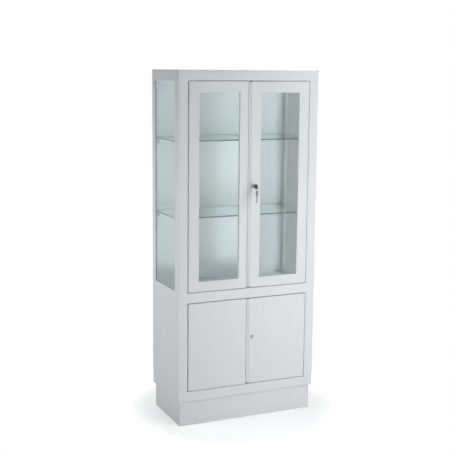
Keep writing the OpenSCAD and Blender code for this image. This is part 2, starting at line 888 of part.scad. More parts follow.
// A block in the outline of a door, drawn in on all sides by inset. On a right door a strip along
// the meeting edge lies further back and stops short of both ends
module door_block(right, z0, z1, inset, y0, y1, r) {
    x0 = right ? right_face_x : -door_side_x;
    x1 = right ? door_side_x : left_meeting_x;
    front_block([x0 + inset, y0, z0 + inset], [x1 - inset, y1, z1 - inset], r);
    if (right) {
        front_block([right_meeting_x + inset, max(y0, door_front + rebate_back + inset),
                     z0 + rebate_end + inset],
                    [x0 + 2 * bend_r + inset, y1, z1 - rebate_end - inset], r);
    }
}

module door_shell(right, z0, z1) {
    difference() {
        door_block(right, z0, z1, 0, door_front, door_back, bend_r);
        door_block(right, z0, z1, sheet, door_front + sheet, door_back + past, inner_bend_r);
        pin_holes(right, z0, z1);
    }
}

module door_liner(right, z0, z1) {
    difference() {
        door_block(right, z0, z1, sheet, door_back - liner_d, door_back, 0);
        door_block(right, z0, z1, 2 * sheet, door_back - liner_d - past, door_back - sheet, 0);
        pin_holes(right, z0, z1);
    }
}

module pin_holes(right, z0, z1) {
    x = right ? pin_x : -pin_x;
    rod_z(x, pin_y, pin_r + run_fit, z0 - past, z0 + 2 * sheet + past);
    rod_z(x, pin_y, pin_r + run_fit, z1 - 2 * sheet - past, z1 + past);
}

module door_pane(window, out, y0, y1) {
    box([window[0] - out, y0, window[2] - out], [window[1] + out, y1, window[3] + out]);
}

// The folded edge of an inner frame, which presses the seal against the shell
module frame_edge(window) {
    difference() {
        door_pane(window, frame_reveal + sheet, door_seal_y + seal_d, door_back - sheet / 2);
        door_pane(window, frame_reveal, door_seal_y, door_back);
    }
}

module glazed_shell(right, window) {
    difference() {
        door_shell(right, upper_door_z0, upper_door_z1);
        door_pane(window, 0, door_front - past, door_front + sheet + past);
    }
}

module glazed_frame(right, window) {
    difference() {
        union() {
            door_liner(right, upper_door_z0, upper_door_z1);
            frame_edge(window);
        }
        door_pane(window, frame_reveal, door_seal_y, door_back + past);
    }
}

module door_glass(window) {
    door_pane(window, glass_lap, door_seal_y + seal_lip, door_seal_y + seal_lip + glass_t);
}

module door_seal(window) {
    difference() {
        door_pane(window, seal_reach, door_seal_y, door_seal_y + seal_d);
        door_pane(window, glass_lap, door_seal_y + seal_lip, door_seal_y + seal_lip + glass_t);
        door_pane(window, seal_reveal, door_seal_y - past, door_seal_y + seal_d + past);
    }
}

// A pin with its thrust collar in the gap between the door and the bush
module hinge_pin(side, face) {
    at_face(side * pin_x, pin_y, face) {
        rod_z(0, 0, pin_r, -pin_reach, door_gap + pin_root);
        rod_z(0, 0, collar_r, bush_flange_t + run_fit, door_gap);
    }
}

module hinge_pins(side, low_face, high_face) {
    hinge_pin(side, low_face);
    hinge_pin(side, high_face);
}

// A slide bolt with its thumb piece flush in the door's meeting edge
module slide_bolt(face) {
    at_face(bolt_x, bolt_y, face) {
        rod_z(0, 0, bolt_r, bolt_rest, bolt_rest + bolt_l);
        box([0, -thumb_t / 2, thumb_z0], [bolt_in, thumb_t / 2, thumb_z0 + thumb_l]);
    }
}

module bolt_guides(face) {
    half_d = door_t / 2 - sheet;
    at_face(bolt_x, bolt_y, face) for (z = [door_gap + 2 * sheet, far_guide]) {
        difference() {
            box([-guide_w / 2, -half_d, z], [guide_w / 2, half_d, z + guide_h]);
            rod_z(0, 0, bolt_r + run_fit, z - past, z + guide_h + past);
        }
    }
}

// The hole in the door's end for the bolt and the slot in its edge for the thumb piece
module bolt_cuts(face) {
    at_face(bolt_x, bolt_y, face) {
        rod_z(0, 0, bolt_r + bolt_clear, door_gap - past, door_gap + 2 * sheet + past);
        box([bolt_in - 2 * sheet - past, -thumb_t / 2 - drop_gap, thumb_z0 - bolt_travel - bolt_clear],
            [bolt_in + past, thumb_t / 2 + drop_gap, thumb_z0 + thumb_l + bolt_clear]);
    }
}

module keeper(z) {
    x1 = left_meeting_x - keeper_edge;
    box([x1 - keeper_w, door_back, z - keeper_h / 2], [x1, door_back + keeper_t, z + keeper_h / 2]);
}

// Locks

module lock_hole(z) rod_y(lock_x, z, barrel_r + lock_hole_gap, door_front - past, door_back + past);

module lock_housing(z) {
    difference() {
        union() {
            rod_y(lock_x, z, lock_flange_r, lock_face, door_front);
            rod_y(lock_x, z, barrel_r, lock_face, barrel_end);
        }
        rod_y(lock_x, z, plug_r + run_fit, lock_face - past, barrel_end + past);
    }
    difference() {
        rod_y(lock_x, z, ring_nut_r, door_back, barrel_end);
        rod_y(lock_x, z, barrel_r + run_fit, door_back - past, barrel_end + past);
    }
}

module lock_plug(z) {
    keyway_t = blade_t / 2 + keyway_clear;
    keyway_h = blade_h / 2 + keyway_clear;
    difference() {
        union() {
            rod_y(lock_x, z, plug_r, lock_face, cam_y0);
            rod_y(lock_x, z, tail_r, cam_y0 - past, cam_y0 + cam_t + cam_nut_t);
        }
        box([lock_x - keyway_t, lock_face - past, z - keyway_h],
            [lock_x + keyway_t, lock_face + key_depth + keyway_spare, z + keyway_h]);
    }
}

// The cam hangs down in the open position; its nut is a solid of its own
module lock_cam(z) {
    tail_hole = tail_r + run_fit;
    cam_y1 = cam_y0 + cam_t;
    difference() {
        union() {
            box([lock_x - cam_w / 2, cam_y0, z - cam_reach + cam_w / 2], [lock_x + cam_w / 2, cam_y1, z]);
            rod_y(lock_x, z, cam_w / 2, cam_y0, cam_y1);
            rod_y(lock_x, z - cam_reach + cam_w / 2, cam_w / 2, cam_y0, cam_y1);
        }
        rod_y(lock_x, z, tail_hole, cam_y0 - past, cam_y1 + past);
    }
    difference() {
        translate([lock_x, cam_y1 + run_fit, z]) rotate([-90, 0, 0])
            cylinder(r = cam_nut_r, h = cam_nut_t - run_fit, $fn = hex);
        rod_y(lock_x, z, tail_hole, cam_y1 - past, cam_y1 + cam_nut_t + past);
    }
}

// Keys

// A flat key blade in Y and Z, its cut edge below, running along +Y from the origin
module blade_plan(length, height_) {
    difference() {
        translate([0, -height_ / 2]) square([length, height_]);
        for (i = [1:notch_count]) {
            translate([length - i * notch_step, -height_ / 2])
                polygon([[-notch_w / 2, -past], [notch_w / 2, -past], [0, notch_d]]);
        }
    }
}

module upper_key() {
    start = head_front - head_root;
    color(chrome) set_back() translate([0, start, upper_lock_z])
        along_x(lock_x - blade_t / 2, lock_x + blade_t / 2)
            blade_plan(lock_face + key_depth - start, blade_h);
}

module upper_key_head() {
    half_slot_t = blade_t / 2 + head_clear;
    half_slot_h = blade_h / 2 + head_clear;
    far = head_front - key_head_l;
    color("black") set_back() difference() {
        translate([0, 0, upper_lock_z]) along_x(lock_x - key_head_t / 2, lock_x + key_head_t / 2)
            rounded([far, -key_head_h / 2], [head_front, key_head_h / 2], head_corner_r, [1, 1, 1, 1]);
        rod_x(eyelet_y, upper_lock_z, eyelet_r, lock_x - key_head_t, lock_x + key_head_t);
        box([lock_x - half_slot_t, head_front - head_root - head_clear, upper_lock_z - half_slot_h],
            [lock_x + half_slot_t, head_front + past, upper_lock_z + half_slot_h]);
    }
}

module key_ring() {
    color(chrome) set_back() translate([lock_x, eyelet_y, upper_lock_z - ring_drop])
        rotate([90, 0, 0]) rotate_extrude() translate([ring_r, 0]) circle(wire_r);
}

module spare_key() {
    w = spare_head_w / 2;
    color(steel) set_back() translate([0, eyelet_y, upper_lock_z - ring_foot]) difference() {
        along_x(lock_x - spare_t / 2, lock_x + spare_t / 2) union() {
            rounded([-w, spare_top - spare_head_h], [w, spare_top], head_corner_r, [1, 1, 1, 1]);
            translate([0, spare_top - spare_head_h + past]) rotate(-90)
                blade_plan(spare_blade_l + past, blade_h);
        }
        rod_x(0, -spare_hole_drop, spare_hole_r, lock_x - spare_t, lock_x + spare_t);
    }
}

// Upper left door

module upper_left_door_shell() {
    color(paint) set_back() difference() {
        glazed_shell(false, left_window);
        bolt_cuts(middle_high_face);
        bolt_cuts(top_face);
    }
}

module upper_left_door_frame() {
    color(paint) set_back() difference() {
        glazed_frame(false, left_window);
        bolt_cuts(middle_high_face);
        bolt_cuts(top_face);
    }
}

module upper_left_door_glass() color(clear, 0.4) set_back() door_glass(left_window);

module upper_left_door_seal() color(rubber) set_back() door_seal(left_window);

module upper_left_hinge_pins() color(steel) set_back() hinge_pins(-1, middle_high_face, top_face);

module upper_left_bolt_guides() {
    color(steel) set_back() {
        bolt_guides(middle_high_face);
        bolt_guides(top_face);
    }
}

module upper_left_keeper() color(steel) set_back() keeper(upper_lock_z);

module upper_left_top_bolt() color(steel) set_back() slide_bolt(top_face);

module upper_left_bottom_bolt() color(steel) set_back() slide_bolt(middle_high_face);

// Upper right door

module upper_right_door_shell() {
    color(paint) set_back() difference() {
        glazed_shell(true, right_window);
        lock_hole(upper_lock_z);
    }
}

module upper_right_door_frame() {
    color(paint) set_back() difference() {
        glazed_frame(true, right_window);
        lock_hole(upper_lock_z);
    }
}

module upper_right_door_glass() color(clear, 0.4) set_back() door_glass(right_window);

module upper_right_door_seal() color(rubber) set_back() door_seal(right_window);

module upper_right_hinge_pins() color(steel) set_back() hinge_pins(1, middle_high_face, top_face);

module upper_lock_housing_and_nut() color(chrome) set_back() lock_housing(upper_lock_z);

module upper_lock_plug() color(chrome) set_back() lock_plug(upper_lock_z);

module upper_lock_cam() color(steel) set_back() lock_cam(upper_lock_z);

// Lower left door

module lower_left_door_shell() {
    color(paint) set_back() difference() {
        door_shell(false, lower_door_z0, lower_door_z1);
        bolt_cuts(bottom_face);
    }
}

module lower_left_door_liner() {
    color(paint) set_back() difference() {
        door_liner(false, lower_door_z0, lower_door_z1);
        bolt_cuts(bottom_face);
    }
}

module lower_left_hinge_pins() color(steel) set_back() hinge_pins(-1, bottom_face, middle_low_face);

module lower_left_bolt_guides() color(steel) set_back() bolt_guides(bottom_face);

module lower_left_keeper() color(steel) set_back() keeper(lower_lock_z);

module lower_left_bolt() color(steel) set_back() slide_bolt(bottom_face);

// Lower right door

module lower_right_door_shell() {
    color(paint) set_back() difference() {
        door_shell(true, lower_door_z0, lower_door_z1);
        lock_hole(lower_lock_z);
    }
}

module lower_right_door_liner() {
    color(paint) set_back() difference() {
        door_liner(true, lower_door_z0, lower_door_z1);
        lock_hole(lower_lock_z);
    }
}

module lower_right_hinge_pins() color(steel) set_back() hinge_pins(1, bottom_face, middle_low_face);

module lower_lock_housing_and_nut() color(chrome) set_back() lock_housing(lower_lock_z);

module lower_lock_plug() color(chrome) set_back() lock_plug(lower_lock_z);

module lower_lock_cam() color(steel) set_back() lock_cam(lower_lock_z);

plinth();
plinth_bolts_and_nuts();
floor_pan();
left_side_panel();
right_side_panel();
back_panel();
back_rivets();
top_cap();
top_rail();
middle_rail();
bottom_rail();
middle_deck();
left_side_glass();
right_side_glass();
left_side_seal();
right_side_seal();
left_side_beads();
right_side_beads();
bead_studs_and_nuts();
lower_glass_shelf();
upper_glass_shelf();
shelf_clips();
shelf_pads();
steel_shelf();
hinge_bushes();
door_buffers();
door_magnets();
upper_left_door_shell();
upper_left_door_frame();
upper_left_door_glass();
upper_left_door_seal();
upper_left_hinge_pins();
upper_left_bolt_guides();
upper_left_keeper();
upper_left_top_bolt();
upper_left_bottom_bolt();
upper_right_door_shell();
upper_right_door_frame();
upper_right_door_glass();
upper_right_door_seal();
upper_right_hinge_pins();
upper_lock_housing_and_nut();
upper_lock_plug();
upper_lock_cam();
upper_key();
upper_key_head();
key_ring();
spare_key();
lower_left_door_shell();
lower_left_door_liner();
lower_left_hinge_pins();
lower_left_bolt_guides();
lower_left_keeper();
lower_left_bolt();
lower_right_door_shell();
lower_right_door_liner();
lower_right_hinge_pins();
lower_lock_housing_and_nut();
lower_lock_plug();
lower_lock_cam();
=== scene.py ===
import json
import math

import bmesh
import bpy
from mathutils import Matrix, Vector


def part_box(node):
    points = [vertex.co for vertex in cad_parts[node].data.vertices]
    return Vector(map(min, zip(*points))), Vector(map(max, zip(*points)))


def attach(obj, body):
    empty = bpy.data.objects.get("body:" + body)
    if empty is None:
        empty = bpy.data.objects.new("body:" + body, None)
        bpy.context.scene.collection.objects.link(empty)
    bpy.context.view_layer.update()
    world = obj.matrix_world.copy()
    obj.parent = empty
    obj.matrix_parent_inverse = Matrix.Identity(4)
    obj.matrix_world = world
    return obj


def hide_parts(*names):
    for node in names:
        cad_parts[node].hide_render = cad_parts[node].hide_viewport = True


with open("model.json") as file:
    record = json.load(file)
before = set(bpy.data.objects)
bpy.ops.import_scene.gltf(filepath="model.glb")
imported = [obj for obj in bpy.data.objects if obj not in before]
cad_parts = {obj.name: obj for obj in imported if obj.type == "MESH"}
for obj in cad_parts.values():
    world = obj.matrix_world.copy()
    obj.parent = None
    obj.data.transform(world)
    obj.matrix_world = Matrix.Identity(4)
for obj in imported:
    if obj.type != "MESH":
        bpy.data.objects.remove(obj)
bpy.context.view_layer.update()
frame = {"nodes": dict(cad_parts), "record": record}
nodes = frame["nodes"]
mm = 0.001
bpy.context.scene.view_settings.view_transform = "Standard"

view = {
    "place": (-2.0699, -4.4990, 1.7972),
    "yaw": 24.054,  # turned right from straight ahead, in degrees
    "pitch": 9.169,  # looking down
    "roll": -0.4823,
    "lens": 76.597,  # in mm, as is the sensor
    "sensor": 36.0,
    "clip": (0.05, 60.0),
}


def aimCamera(v):
    yaw, pitch, roll = (math.radians(v[k]) for k in ("yaw", "pitch", "roll"))
    level = math.cos(pitch)
    ahead = Vector((math.sin(yaw) * level, math.cos(yaw) * level, -math.sin(pitch)))
    side = Vector((math.cos(yaw), -math.sin(yaw), 0))
    down = ahead.cross(side)
    sideRolled = math.cos(roll) * side + math.sin(roll) * down
    downRolled = -math.sin(roll) * side + math.cos(roll) * down
    turn = Matrix((sideRolled, -downRolled, -ahead)).transposed().to_4x4()
    lensData = bpy.data.cameras.new("photoCamera")
    lensData.lens = v["lens"]
    lensData.sensor_width = v["sensor"]
    lensData.clip_start, lensData.clip_end = v["clip"]
    camera = bpy.data.objects.new("photoCamera", lensData)
    camera.matrix_world = Matrix.Translation(v["place"]) @ turn
    bpy.context.scene.collection.objects.link(camera)
    bpy.context.scene.camera = camera


aimCamera(view)

studio = {
    # a far key lamp from the right, above and in front; the others are soft boxes
    "keyTravel": (-1.24, 1.0, -1.25),
    "keyAim": (0.5, -0.16, 1.6),
    "keyDistance": 9.0,
    "keyCone": 14.0,
    "keyRadius": 0.07,
    "keyPower": 318.0,
    "boxes": [
        {
            "name": "rightHighBox", "place": (1.8, -1.8, 2.1), "aim": (0, 0, 1.3),
            "size": (1.2, 1.0), "power": 27.5,
        },
        {
            "name": "frontLowBox", "place": (0.7, -2.4, 0.65), "aim": (0, -0.19, 0.4),
            "size": (1.0, 0.5), "power": 26.0,
        },
        {
            "name": "sideBox", "place": (-1.9, 0.15, 0.95), "aim": (-0.385, 0, 0.85),
            "size": (0.8, 0.6), "power": 15.0,
        },
        {
            "name": "backBox", "place": (0.8, 2.8, 1.4), "aim": (0, 0, 1.0),
            "size": (1.6, 1.6), "power": 30.0,
        },
        {
            "name": "topBox", "place": (0.1, 0.2, 3.4), "aim": (0, 0, 1.8),
            "size": (1.4, 1.0), "power": 15.0,
        },
    ],
    # the studio round the cabinet: as it lights, as gloss shows it and as the camera sees it
    "sky": {"color": (0.985, 0.995, 1.0), "level": 0.14},
    "inGloss": {"color": (0.985, 0.995, 1.0), "level": 0.45},
    "glossOverhead": 1.0,  # gloss shows the studio brighter towards its ceiling
    "glossRise": (0.05, 0.7),  # between these heights of a ray of length 1
    "backdrop": {"color": (1.0, 1.0, 1.0), "level": 1.0},
    # through the glass: the light that falls in from low down, and the walls seen straight through
    "inGlass": {"color": (1.0, 0.97, 0.97), "level": 2.35},
    "fallsInBelow": (0.05, 0.15),  # fades out between these heights of a ray of length 1
    "greyWall": {"toward": (0.402, 0.901, -0.159), "level": 0.35, "within": 21.0, "until": 40.0},
    "paleWalls": 0.93,
    "floorRadius": 3.0,
    "floorSides": 96,
    "floorDrop": 0.0002,  # keeps the floor clear of the plinth's underside
    "floorColor": (0.60, 0.57, 0.58),
    "floorShade": 0.87,  # share of the floor's white that a shadow can take away near the cabinet
    "floorLift": 1.6,  # brings the lit floor back to white there
    "shadeReach": (0.46, 0.92),  # the shadow fades out between these distances from the centre
}


def linkUp(tree, start, end):
    tree.links.new(start, end)


def newNode(tree, kind, **settings):
    node = tree.nodes.new(kind)
    for key, value in settings.items():
        setattr(node, key, value)
    return node


def feed(tree, value, socket):
    # a plain number is written into the socket, anything else is linked to it
    if isinstance(value, (int, float)):
        socket.default_value = value
    else:
        linkUp(tree, value, socket)


def mathNode(tree, operation, a, b):
    node = newNode(tree, "ShaderNodeMath", operation=operation)
    feed(tree, a, node.inputs[0])
    feed(tree, b, node.inputs[1])
    return node.outputs[0]


def smoothStep(tree, value, ends, results):
    # runs smoothly from the first result to the second as the value goes from end to end
    node = newNode(tree, "ShaderNodeMapRange", interpolation_type="SMOOTHSTEP")
    for label, number in zip(("From Min", "From Max", "To Min", "To Max"), (*ends, *results)):
        node.inputs[label].default_value = number
    linkUp(tree, value, node.inputs["Value"])
    return node.outputs["Result"]


def mixShaders(tree, share, first, second):
    mix = newNode(tree, "ShaderNodeMixShader")
    for slotNumber, socket in enumerate((share, first, second)):
        linkUp(tree, socket, mix.inputs[slotNumber])
    return mix.outputs[0]


def colorShader(tree, kind, color):
    shader = newNode(tree, kind)
    shader.inputs["Color"].default_value = (*color, 1)
    return shader


def hangLamp(name, kind, place, aim, power):
    lamp = bpy.data.lights.new(name, kind)
    lamp.energy = power
    holder = bpy.data.objects.new(name, lamp)
    holder.location = place
    holder.rotation_mode = "QUATERNION"
    holder.rotation_quaternion = (Vector(aim) - Vector(place)).to_track_quat("-Z", "Y")
    bpy.context.scene.collection.objects.link(holder)
    return lamp, holder


def throughPanes(tree, s, heading, height, path):
    # straight through the glass a grey wall shows one way and pale walls the others
    wall = s["greyWall"]
    along = newNode(tree, "ShaderNodeVectorMath", operation="DOT_PRODUCT")
    linkUp(tree, heading, along.inputs[0])
    along.inputs[1].default_value = Vector(wall["toward"]).normalized()
    ends = [math.cos(math.radians(wall[key])) for key in ("until", "within")]
    shown = smoothStep(tree, along.outputs["Value"], ends, (s["paleWalls"], wall["level"]))
    # light that falls in on a piece comes from low down
    fallsIn = smoothStep(tree, height, s["fallsInBelow"], (s["inGlass"]["level"], 0.0))
    pick = newNode(tree, "ShaderNodeMix", data_type="FLOAT")
    bounced = mathNode(tree, "GREATER_THAN", path.outputs["Diffuse Depth"], 0.5)
    for label, socket in (("Factor", bounced), ("A", shown), ("B", fallsIn)):
        linkUp(tree, socket, pick.inputs[label])
    return pick.outputs["Result"]


def paintStudio(s):
    world = bpy.data.worlds.new("paleStudio")
    bpy.context.scene.world = world
    world.use_nodes = True
    tree = world.node_tree
    tree.nodes.clear()
    path = newNode(tree, "ShaderNodeLightPath")
    heading = newNode(tree, "ShaderNodeTexCoord").outputs["Generated"]
    parts = newNode(tree, "ShaderNodeSeparateXYZ")
    linkUp(tree, heading, parts.inputs[0])
    height = parts.outputs["Z"]
    glossEnds = (s["inGloss"]["level"], s["glossOverhead"])
    strengths = {
        "inGloss": smoothStep(tree, height, s["glossRise"], glossEnds),
        "inGlass": throughPanes(tree, s, heading, height, path),
    }
    seen = None
    for label, ray in (
        ("sky", None),
        ("inGloss", "Is Glossy Ray"),
        ("inGlass", "Is Transmission Ray"),
        ("backdrop", "Is Camera Ray"),
    ):
        part = colorShader(tree, "ShaderNodeBackground", s[label]["color"])
        part.inputs["Strength"].default_value = s[label]["level"]
        if label in strengths:
            linkUp(tree, strengths[label], part.inputs["Strength"])
        if seen is None:
            seen = part.outputs[0]
        else:
            seen = mixShaders(tree, path.outputs[ray], seen, part.outputs[0])
    out = newNode(tree, "ShaderNodeOutputWorld")
    linkUp(tree, seen, out.inputs["Surface"])


def lightStudio(s):
    back = -s["keyDistance"] * Vector(s["keyTravel"]).normalized()
    key, _ = hangLamp("keyLamp", "SPOT", Vector(s["keyAim"]) + back, s["keyAim"], s["keyPower"])
    key.spot_size = math.radians(s["keyCone"])
    key.spot_blend = 1.0
    key.shadow_soft_size = s["keyRadius"]
    for box in s["boxes"]:
        lamp, holder = hangLamp(box["name"], "AREA", box["place"], box["aim"], box["power"])
        lamp.shape = "RECTANGLE"
        lamp.size, lamp.size_y = box["size"]
        holder.visible_camera = False
        holder.visible_glossy = False
        holder.visible_transmission = False


def floorFinish(s):
    material = bpy.data.materials.new("studioFloor")
    material.use_nodes = True
    tree = material.node_tree
    tree.nodes.clear()
    path = newNode(tree, "ShaderNodeLightPath")
    # what the camera sees: white, with the shadow close to the plinth
    far = newNode(tree, "ShaderNodeVectorMath", operation="LENGTH")
    linkUp(tree, newNode(tree, "ShaderNodeTexCoord").outputs["Object"], far.inputs[0])
    fade = smoothStep(tree, far.outputs["Value"], s["shadeReach"], (s["floorShade"], 0.0))
    glow = colorShader(tree, "ShaderNodeEmission", (1, 1, 1))
    lift = mathNode(tree, "MULTIPLY", fade, s["floorLift"])
    linkUp(tree, mathNode(tree, "ADD", lift, 1.0), glow.inputs["Strength"])
    shaded = colorShader(tree, "ShaderNodeBsdfDiffuse", (1, 1, 1))
    shown = mixShaders(tree, fade, glow.outputs[0], shaded.outputs[0])
    # what lights the cabinet from below
    plain = colorShader(tree, "ShaderNodeBsdfDiffuse", s["floorColor"])
    floor = mixShaders(tree, path.outputs["Is Camera Ray"], plain.outputs[0], shown)
    # straight through glass the studio walls show instead of the floor
    straight = mathNode(tree, "LESS_THAN", path.outputs["Diffuse Depth"], 0.5)
    throughGlass = mathNode(tree, "MULTIPLY", path.outputs["Is Transmission Ray"], straight)
    skipped = newNode(tree, "ShaderNodeBsdfTransparent").outputs[0]
    out = newNode(tree, "ShaderNodeOutputMaterial")
    linkUp(tree, mixShaders(tree, throughGlass, floor, skipped), out.inputs["Surface"])
    return material


def layFloor(s):
    mesh = bpy.data.meshes.new("studioFloor")
    shape = bmesh.new()
    bmesh.ops.create_circle(shape, cap_ends=True, segments=s["floorSides"], radius=s["floorRadius"])
    shape.to_mesh(mesh)
    shape.free()
    mesh.materials.append(floorFinish(s))
    floor = bpy.data.objects.new("studioFloor", mesh)
    floor.location.z = -s["floorDrop"]
    bpy.context.scene.collection.objects.link(floor)


paintStudio(studio)
lightStudio(studio)
layFloor(studio)
print("camera, floor and light ready")


def newGroup(name, inputs, outputs):
    group = bpy.data.node_groups.new(name, "ShaderNodeTree")
    for label, kind, value in inputs:
        socket = group.interface.new_socket(label, in_out="INPUT", socket_type=kind)
        socket.default_value = value
    for label, kind in outputs:
        group.interface.new_socket(label, in_out="OUTPUT", socket_type=kind)
    return group, newNode(group, "NodeGroupInput"), newNode(group, "NodeGroupOutput")


def noiseIn(tree, vector, scale, detail):
    noise = newNode(tree, "ShaderNodeTexNoise")
    for label, value in (("Vector", vector), ("Scale", scale), ("Detail", detail), ("Roughness", 0.5)):
        feed(tree, value, noise.inputs[label])
    return noise.outputs["Fac"]


noiseMiddle = (0.25, 0.75)  # most of a noise's values lie between these


def spread(tree, value, low, high):
    # the middle of a noise value, moved to run from low to high
    node = newNode(tree, "ShaderNodeMapRange")
    node.inputs["From Min"].default_value, node.inputs["From Max"].default_value = noiseMiddle
    for label, end in (("Value", value), ("To Min", low), ("To Max", high)):
        feed(tree, end, node.inputs[label])
    return node.outputs["Result"]


def makeSurfaceGroup():
    # a slow drift of tone, a fine grain and the height that goes with it
    group, given, out = newGroup(
        "surfaceGrain",
        [
            ("Tone", "NodeSocketColor", (0.7, 0.7, 0.7, 1)),
            ("Tone Drift", "NodeSocketFloat", 0.03),
            ("Drift Scale", "NodeSocketFloat", 5.0),
            ("Grain Scale", "NodeSocketFloat", 500.0),
            ("Rough Low", "NodeSocketFloat", 0.3),
            ("Rough High", "NodeSocketFloat", 0.4),
        ],
        [
            ("Color", "NodeSocketColor"),
            ("Roughness", "NodeSocketFloat"),
            ("Height", "NodeSocketFloat"),
        ],
    )
    place = newNode(group, "ShaderNodeTexCoord").outputs["Object"]
    drift = noiseIn(group, place, given.outputs["Drift Scale"], 3.0)
    grain = noiseIn(group, place, given.outputs["Grain Scale"], 2.0)
    lowEnd = mathNode(group, "SUBTRACT", 1.0, given.outputs["Tone Drift"])
    scale = newNode(group, "ShaderNodeVectorMath", operation="SCALE")
    linkUp(group, given.outputs["Tone"], scale.inputs[0])
    linkUp(group, spread(group, drift, lowEnd, 1.0), scale.inputs["Scale"])
    linkUp(group, scale.outputs[0], out.inputs["Color"])
    halves = [mathNode(group, "MULTIPLY", noise, 0.5) for noise in (drift, grain)]
    mixed = mathNode(group, "ADD", *halves)
    rough = spread(group, mixed, given.outputs["Rough Low"], given.outputs["Rough High"])
    linkUp(group, rough, out.inputs["Roughness"])
    linkUp(group, grain, out.inputs["Height"])
    return group


surfaceGrain = makeSurfaceGroup()


def newFinish(name, look):
    # a material whose tone and roughness come from the surface group
    material = bpy.data.materials.new(name)
    material.use_nodes = True
    tree = material.node_tree
    shader = tree.nodes["Principled BSDF"]
    grain = newNode(tree, "ShaderNodeGroup", node_tree=surfaceGrain)
    roughLow, roughHigh = look["rough"]
    for label, value in (
        ("Tone", (*look["tone"], 1)),
        ("Tone Drift", look["drift"]),
        ("Drift Scale", look["driftScale"]),
        ("Grain Scale", look["grainScale"]),
        ("Rough Low", roughLow),
        ("Rough High", roughHigh),
    ):
        grain.inputs[label].default_value = value
    linkUp(tree, grain.outputs["Color"], shader.inputs["Base Color"])
    linkUp(tree, grain.outputs["Roughness"], shader.inputs["Roughness"])
    return material, tree, shader, grain


def grainFinish(name, look):
    material, tree, shader, grain = newFinish(name, look)
    bump = newNode(tree, "ShaderNodeBump")
    bump.inputs["Strength"].default_value = look["bump"]
    bump.inputs["Distance"].default_value = look["bumpDepth"]
    linkUp(tree, grain.outputs["Height"], bump.inputs["Height"])
    linkUp(tree, bump.outputs[0], shader.inputs["Normal"])
    shader.inputs["Metallic"].default_value = look.get("metal", 0.0)
    shader.inputs["IOR"].default_value = look.get("ior", 1.5)
    shader.inputs["Coat Weight"].default_value = look.get("coat", 0.0)
    shader.inputs["Coat Roughness"].default_value = look.get("coatRough", 0.1)
    return material


def glassFinish(name, look):
    material, tree, shader, _ = newFinish(name, look)
    shader.inputs["Transmission Weight"].default_value = 1.0
    shader.inputs["Metallic"].default_value = 0.0
    shader.inputs["IOR"].default_value = look["ior"]
    # the lamps shine straight through, tinted a little
    through = colorShader(tree, "ShaderNodeBsdfTransparent", look["lampTone"])
    path = newNode(tree, "ShaderNodeLightPath")
    mix = mixShaders(tree, path.outputs["Is Shadow Ray"], shader.outputs[0], through.outputs[0])
    linkUp(tree, mix, tree.nodes["Material Output"].inputs["Surface"])
    return material


